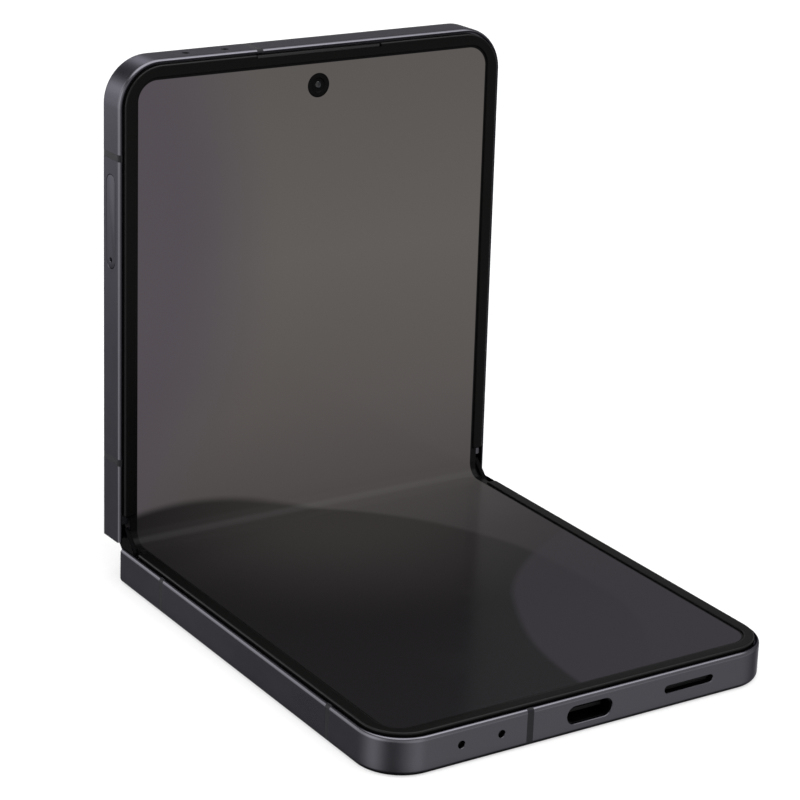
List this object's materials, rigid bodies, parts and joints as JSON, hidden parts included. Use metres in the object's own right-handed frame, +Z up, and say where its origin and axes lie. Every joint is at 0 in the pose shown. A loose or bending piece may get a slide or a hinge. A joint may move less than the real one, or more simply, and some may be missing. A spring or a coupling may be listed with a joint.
{
  "type": "foldable smartphone",
  "caption": "Clamshell folding smartphone, half open, with a bending display across a synchronised double-axis hinge.",
  "frame": {"origin": "middle of the lower half's flat resting face", "axes": "+X along the hinge, to the right seen from the free end of the lower half; +Y from the free end towards the hinge; +Z up, out of the lower half's display"},
  "size_m": [0.0755, 0.0929, 0.0902],
  "materials": {
    "frame_metal": "satin anodised graphite",
    "antenna_plastic": "fine matt",
    "back_glass": "frosted, opaque",
    "cover_glass": "polished, black printed from inside",
    "seal_foam": "soft foam tape",
    "cover_oled": "smooth dark panel",
    "ring_metal": "turned and anodised",
    "lens_glass": "polished",
    "module_plastic": "moulded",
    "flash_plastic": "clear over a yellow emitter",
    "bezel_plastic": "matt soft touch",
    "display_film": "glossy flexible film over the lit panel",
    "support_steel": "thin rolled sheet",
    "spine_metal": "satin anodised graphite",
    "cap_plastic": "moulded",
    "hinge_steel": "sintered and tumbled",
    "gear_steel": "sintered",
    "shaft_steel": "ground",
    "spring_steel": "formed",
    "flex_film": "amber film",
    "screw_steel": "machined",
    "battery_foil": "black wrapped foil pouch",
    "board_green": "solder mask",
    "can_metal": "stamped",
    "port_steel": "drawn",
    "port_plastic": "moulded",
    "speaker_plastic": "moulded",
    "mic_metal": "plated",
    "coil_copper": "wound wire",
    "tray_metal": "satin anodised graphite",
    "key_metal": "satin anodised graphite",
    "switch_metal": "stamped"
  },
  "bodies": {
    "lower_half": {"lower_frame": "frame_metal", "lower_antenna_bands": "antenna_plastic", "lower_back_glass": "back_glass", "lower_back_seal": "seal_foam", "lower_bezel": "bezel_plastic", "display_lower": "display_film", "lower_display_plate": "support_steel", "lower_rail_arms": "hinge_steel", "lower_hinge_screws": "screw_steel", "lower_battery": "battery_foil", "charging_coil": "coil_copper", "sub_board": "board_green", "board_screws": "screw_steel", "usb_shell": "port_steel", "usb_tongue": "port_plastic", "speaker_module": "speaker_plastic", "lower_microphones": "mic_metal", "vibration_motor": "can_metal"},
    "spine": {"spine_cover": "spine_metal", "hinge_end_caps": "cap_plastic", "hinge_housings": "hinge_steel", "gear_shafts": "shaft_steel", "friction_springs": "spring_steel", "display_fold": "display_film", "hinge_flex_cable": "flex_film"},
    "lower_sync": {"lower_sync_arms": "gear_steel"},
    "lower_idler": {"lower_idler_gears": "gear_steel"},
    "upper_idler": {"upper_idler_gears": "gear_steel"},
    "upper_sync": {"upper_sync_arms": "gear_steel"},
    "power_button": {"power_key": "key_metal"},
    "volume_button": {"volume_key": "key_metal"},
    "card_tray": {"sim_tray": "tray_metal"},
    "upper_half": {"upper_frame": "frame_metal", "upper_antenna_bands": "antenna_plastic", "upper_cover_glass": "cover_glass", "upper_back_seal": "seal_foam", "cover_display": "cover_oled", "camera_rings": "ring_metal", "camera_lenses": "lens_glass", "camera_modules": "module_plastic", "flash_lens": "flash_plastic", "upper_bezel": "bezel_plastic", "display_upper": "display_film", "upper_display_plate": "support_steel", "front_camera": "module_plastic", "upper_rail_arms": "hinge_steel", "upper_hinge_screws": "screw_steel", "upper_battery": "battery_foil", "main_board": "board_green", "shield_cans": "can_metal", "upper_microphones": "mic_metal", "earpiece": "speaker_plastic", "sim_reader": "can_metal", "key_switches": "switch_metal"}
  },
  "joints": [
    {"name": "spine_fold", "type": "hinge", "parent": "lower_half", "child": "spine", "pos_m": [0, 0.0402, 0.00545], "axis": [1, 0, 0], "range_deg": [-44.5, 45.5], "deforming": ["display_fold", "hinge_flex_cable"]},
    {"name": "upper_fold", "type": "hinge", "parent": "spine", "child": "upper_half", "pos_m": [0, 0.04277, 0.00797], "axis": [1, 0, 0], "range_deg": [-44.5, 45.5], "deforming": ["display_fold", "hinge_flex_cable"]},
    {"name": "lower_sync_turn", "type": "hinge", "parent": "spine", "child": "lower_sync", "pos_m": [0, 0.04032, 0.0034], "axis": [1, 0, 0], "range_deg": [-45.5, 44.5]},
    {"name": "lower_idler_turn", "type": "hinge", "parent": "spine", "child": "lower_idler", "pos_m": [0, 0.04182, 0.00487], "axis": [1, 0, 0], "range_deg": [-44.5, 45.5]},
    {"name": "upper_idler_turn", "type": "hinge", "parent": "spine", "child": "upper_idler", "pos_m": [0, 0.04332, 0.00634], "axis": [1, 0, 0], "range_deg": [-45.5, 44.5]},
    {"name": "upper_sync_turn", "type": "hinge", "parent": "spine", "child": "upper_sync", "pos_m": [0, 0.04482, 0.00781], "axis": [1, 0, 0], "range_deg": [-44.5, 45.5]},
    {"name": "power_press", "type": "slide", "parent": "upper_half", "child": "power_button", "axis": [-1, 0, 0], "range_m": [0, 0.0002], "stiffness_N_per_m": 3000, "springref_m": -0.0001},
    {"name": "volume_rock", "type": "hinge", "parent": "upper_half", "child": "volume_button", "pos_m": [0.0365, 0.04573, 0.06013], "axis": [0, 0.9998, -0.0175], "range_deg": [-1, 1], "stiffness_Nm_per_rad": 0.5},
    {"name": "tray_slide", "type": "slide", "parent": "upper_half", "child": "card_tray", "axis": [-1, 0, 0], "range_m": [0, 0.022]}
  ],
  "couplings": [
    {"joint": "upper_fold", "follows": "spine_fold", "ratio": 1},
    {"joint": "lower_sync_turn", "follows": "spine_fold", "ratio": -1},
    {"joint": "lower_idler_turn", "follows": "spine_fold", "ratio": 1},
    {"joint": "upper_idler_turn", "follows": "spine_fold", "ratio": -1},
    {"joint": "upper_sync_turn", "follows": "spine_fold", "ratio": 1}
  ]
}
